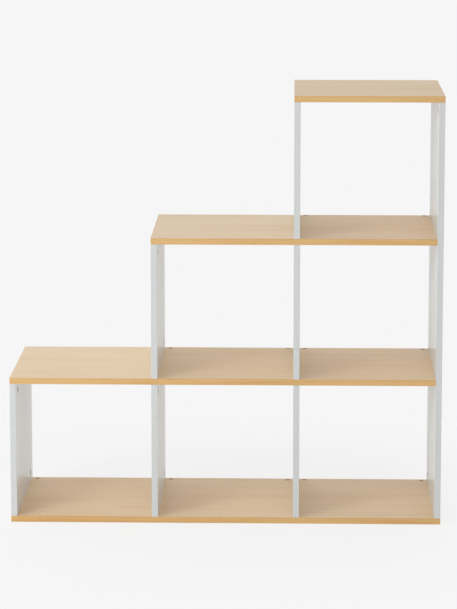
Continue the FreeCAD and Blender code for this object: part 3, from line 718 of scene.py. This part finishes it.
# %% Hole plugs
PLUG_SIDE_INSET = 0.0145
PLUG_REAR_INSET = 0.012
PLUG_AROUND = 36
PLUG_RADIUS = 5.0
PLUG_HEIGHT = 1.2
PLUG_ROUNDING = 0.5
PLUG_DISH = 0.2
DISH_FROM, DISH_TO, DISH_RINGS = 4.2, 0.2, 9
RIM_RINGS = 8
# Height above the floor and radius of each ring, from the foot of the stem to the head's upright edge
PLUG_STEM = ((-9.7, 2.2), (-9.2, 2.5), (0.0, 2.5), (0.0, 4.8), (0.2, PLUG_RADIUS))
STANDING_GAP = 0.001

stem_heights, stem_radii = np.array(PLUG_STEM).T
dish_edge = PLUG_RADIUS - PLUG_ROUNDING
rim_turn = np.linspace(0, np.pi / 2, RIM_RINGS)
dish_radii = np.linspace(DISH_FROM, DISH_TO, DISH_RINGS)
rim_heights = PLUG_HEIGHT - PLUG_ROUNDING * (1 - np.sin(rim_turn))
dish_heights = PLUG_HEIGHT - PLUG_DISH * (1 - (dish_radii / dish_edge) ** 2)
plug_heights = np.r_[stem_heights, rim_heights, dish_heights]
plug_radii = np.r_[stem_radii, dish_edge + PLUG_ROUNDING * np.cos(rim_turn), dish_radii]

panel_boxes = [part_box(name) for name in panels]
plug_places = []
for name in ("base_board", "lower_shelf", "upper_shelf"):
    floor_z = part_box(name)[1].z
    on_floor = [box for box in panel_boxes if box[0].z - STANDING_GAP < floor_z < box[1].z]
    standing = sorted((low.x, high.x) for low, high in on_floor)
    for (_, left_face), (right_face, _) in zip(standing, standing[1:]):
        for x in (left_face + PLUG_SIDE_INSET, right_face - PLUG_SIDE_INSET):
            plug_places.append(((x, REAR - PLUG_REAR_INSET, floor_z), X_WAY, Z_WAY))
plug_form = turned_form(plug_heights, plug_radii, PLUG_AROUND)
make_fittings("rear_hole_plugs", plug_form, plug_places, "plug_plastic", smooth_degrees=35)

# %% [markdown]
# ## Slots, arcs and arrows
# A cam lock and a screw have slotted heads, and a slot isn't round, so a turned form can't have one.
# Cutting it with a boolean would leave thin slivers round the cross. Instead a square grid is drawn out
# to a disc, with grid lines along the slot's edges, and the points inside the slot are let down. Two
# more forms are profiles carried along a path: a rectangle carried round an arc, and an outline carried
# straight up.

# %% Forms for slotted and cast fittings
SLOT_WALL = 0.18
# Just off an axis of the grid, a place lands at this share of its distance, about a quarter of pi
GRID_SQUEEZE = 0.785
NEARLY = 1e-9


def slotted_head(radius, thickness, rim, half_slot, half_length, depth, cross):
    """A round head with a slot or a cross, from two square grids drawn to discs.

    A grid place (s, t) goes to the radius max(|s|, |t|), as far round the circle as it was round the
    square. The upper grid follows the rim, a row of heights at distances in from the edge, and sinks
    by the slot's depth inside its arms. The lower one is flat.
    """
    wall = SLOT_WALL / radius
    arm, reach = half_slot / radius / GRID_SQUEEZE, half_length / radius
    rim_places = 1 - np.array([distance for distance, _ in rim])[::-1] / radius
    rim_levels = np.array([height for _, height in rim])[::-1]
    across_slot, along_slot = np.linspace(0, arm, 2), np.linspace(arm + wall, reach, 5)
    past_slot = np.linspace(reach + wall, rim_places[0], 3)
    half = np.unique(np.r_[across_slot, along_slot, past_slot, rim_places])
    line = np.r_[-half[:0:-1], half]
    s, t = np.meshgrid(line, line)
    level = np.abs(s) >= np.abs(t)
    longer = np.where(level, s, t)
    turn = np.pi / 4 * np.where(level, t, s) / np.where(longer == 0, 1, longer)
    x = np.where(level, longer * np.cos(turn), longer * np.sin(turn)) * radius
    y = np.where(level, longer * np.sin(turn), longer * np.cos(turn)) * radius
    along = (np.abs(s) <= reach + NEARLY) & (np.abs(t) <= arm + NEARLY)
    sunk = along | (along.T & cross)
    upper = np.interp(np.abs(longer), rim_places, rim_levels) - depth * sunk
    lower = np.full(x.shape, -thickness)
    points = np.concatenate([np.stack([x, y, upper], -1), np.stack([x, y, lower], -1)]).reshape(-1, 3)
    number = np.arange(x.size).reshape(x.shape)
    corners = [number[:-1, :-1], number[:-1, 1:], number[1:, 1:], number[1:, :-1]]
    top = np.stack(corners, -1).reshape(-1, 4)
    border = np.r_[number[0, :-1], number[:-1, -1], number[-1, :0:-1], number[:0:-1, 0]]
    ahead = np.roll(border, -1)
    side = np.stack([border + x.size, ahead + x.size, ahead, border], -1)
    return points, [top, top[:, ::-1] + x.size, side]


def arc_bar(inner, outer, low, high, start, end, steps):
    """A rectangle between two radii and two heights, carried round the axis from angle to angle."""
    angle = np.radians(np.linspace(start, end, steps))[:, None]
    radius = np.stack(np.broadcast_arrays(inner, outer, outer, inner, angle[:, 0])[:4], axis=1)
    height = np.broadcast_to([low, low, high, high], radius.shape)
    points = np.stack([radius * np.cos(angle), radius * np.sin(angle), height], axis=-1).reshape(-1, 3)
    here = np.arange(steps)[:, None] * 4 + np.arange(4)
    beside = np.roll(here, -1, axis=1)
    walls = np.stack([here[:-1], here[1:], beside[1:], beside[:-1]], axis=-1).reshape(-1, 4)
    return points, [walls, here[:1], here[-1:, ::-1]]


def prism(outline, low, high):
    """A flat outline, listed against the clock, carried straight up from one height to another."""
    corners = len(outline)
    points = np.vstack([np.c_[outline, np.full(corners, level)] for level in (low, high)])
    here = np.arange(corners)
    ahead = np.roll(here, -1)
    sides = np.stack([here, ahead, ahead + corners, here + corners], axis=-1)
    return points, [sides, here[None, ::-1], here[None] + corners]


def joined(*forms):
    """Several closed forms as one: points stacked, and the numbers in the faces moved on."""
    starts = np.cumsum([0] + [len(points) for points, _ in forms])
    blocks = [block + start for start, (_, parts) in zip(starts, forms) for block in parts]
    return np.vstack([points for points, _ in forms]), blocks


unit_block = prism([(0, 0), (1, 0), (1, 1), (0, 1)], 0, 1)
print("a prism of side one holds", round(volume_of(unit_block), 2))

# %% [markdown]
# ## Cam locks
# A cam lock is a zinc drum, let into the panel and turned with a screwdriver. Its head has a cross slot
# and a small raised arrow that shows where the bolt comes in. Below the head the casting is hollow: a
# wall that winds inwards like a snail shell draws the bolt's head in as the drum turns, and two lips
# hold it. The head is dished, with a narrow rim level with the panel's face. Seen along the panel, the
# far side of that rim makes the dark mark. The zinc is also painted darker than bare zinc, as painted
# shade of the hole. Each of these is a closed form of its own, and they overlap a little, as parts of
# one casting may.

# %% Cam locks
CAM_RADIUS = 7.4
# Distance in from the head's edge, and height against the panel's face
CAM_RIM = ((0.0, -0.08), (0.08, 0.0), (0.3, 0.0), (0.5, -0.7))
# Height and radius of each ring of the drum's floor
CAM_FLOOR = ((-12.0, 7.1), (-11.7, CAM_RADIUS), (-11.4, CAM_RADIUS))
CAM_AROUND = 48
CAM_ARROW = ((6.5, 0.0), (5.2, 0.85), (5.2, -0.85))
WALL_INNER_START, WALL_INNER_END = 5.4, 4.4
WALL_STEPS = 40
LIP_HEIGHTS = ((-4.9, -3.5), (-11.5, -10.1))

cam_head = slotted_head(CAM_RADIUS, thickness=3.6, rim=CAM_RIM, half_slot=0.8, half_length=4.5,
                        depth=2.0, cross=True)
cam_arrow = prism(CAM_ARROW, low=-0.9, high=-0.5)
cam_floor = turned_form(*np.array(CAM_FLOOR).T, CAM_AROUND)
winding = np.linspace(WALL_INNER_START, WALL_INNER_END, WALL_STEPS)
cam_wall = arc_bar(inner=winding, outer=CAM_RADIUS, low=-11.5, high=-3.5, start=130, end=303,
                   steps=WALL_STEPS)
cam_lips = [
    arc_bar(inner=5.0, outer=CAM_RADIUS, low=low, high=high, start=-25, end=130, steps=36)
    for low, high in LIP_HEIGHTS
]
cam_form = joined(cam_head, cam_arrow, cam_floor, cam_wall, *cam_lips)
make_fittings("cam_locks", cam_form, cam_places, "cam_zinc", smooth_degrees=30)

# %% [markdown]
# ## Bracket screws
# Two short screws hold the wall bracket under the rear of the top board. Their heads look down, with a
# slot for the screwdriver. The shank has the same kind of thread as the bolt, with a finer pitch and a
# pointed end, and the head is the cam's with one slot in place of the cross, turned over. So the
# helpers above make both.

# %% Bracket screws
SCREW_PITCH = 1.2
SCREW_THREAD_LENGTH = 10.0
SCREW_THREAD_RINGS = 60
SCREW_CORE, SCREW_RIDGE = 1.25, 0.55
SCREW_HEAD_RADIUS = 3.5
SCREW_HEAD_HEIGHT = 2.4
# Distance in from the head's edge, and height against its top
SCREW_RIM = ((0.0, -0.6), (0.25, -0.2), (0.6, 0.0))
# Height and radius of each ring of the point
SCREW_POINT = ((10.6, 1.0), (11.2, 0.6), (11.7, 0.12))
TURNED_OVER = (1, -1, -1)

screw_heights = np.linspace(0.0, SCREW_THREAD_LENGTH, SCREW_THREAD_RINGS)
screw_radii = SCREW_CORE + SCREW_RIDGE * thread_ridge(screw_heights, SCREW_PITCH)
screw_shank = threaded_form(screw_heights, screw_radii, SCREW_POINT)
head_points, head_blocks = slotted_head(SCREW_HEAD_RADIUS, thickness=2.5, rim=SCREW_RIM, half_slot=0.5,
                                        half_length=2.6, depth=1.2, cross=False)
screw_head = (head_points * TURNED_OVER - (0, 0, SCREW_HEAD_HEIGHT), head_blocks)
low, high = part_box("wall_bracket_screws")
screw_y = (low.y + high.y) / 2
seat = low.z + SCREW_HEAD_HEIGHT * MILLIMETRE
to_axis = SCREW_HEAD_RADIUS * MILLIMETRE
screw_places = [((x, screw_y, seat), X_WAY, Z_WAY) for x in (low.x + to_axis, high.x - to_axis)]
screw_form = joined(screw_head, screw_shank)
make_fittings("wall_bracket_screws", screw_form, screw_places, "screw_steel", smooth_degrees=35)

# %% [markdown]
# ## Last lines
# The dressed shelf's box is printed last, to set beside the frame's box printed at the start.

# %% Sizes and finish
low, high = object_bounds()
print("box:", tuple(low), tuple(high))
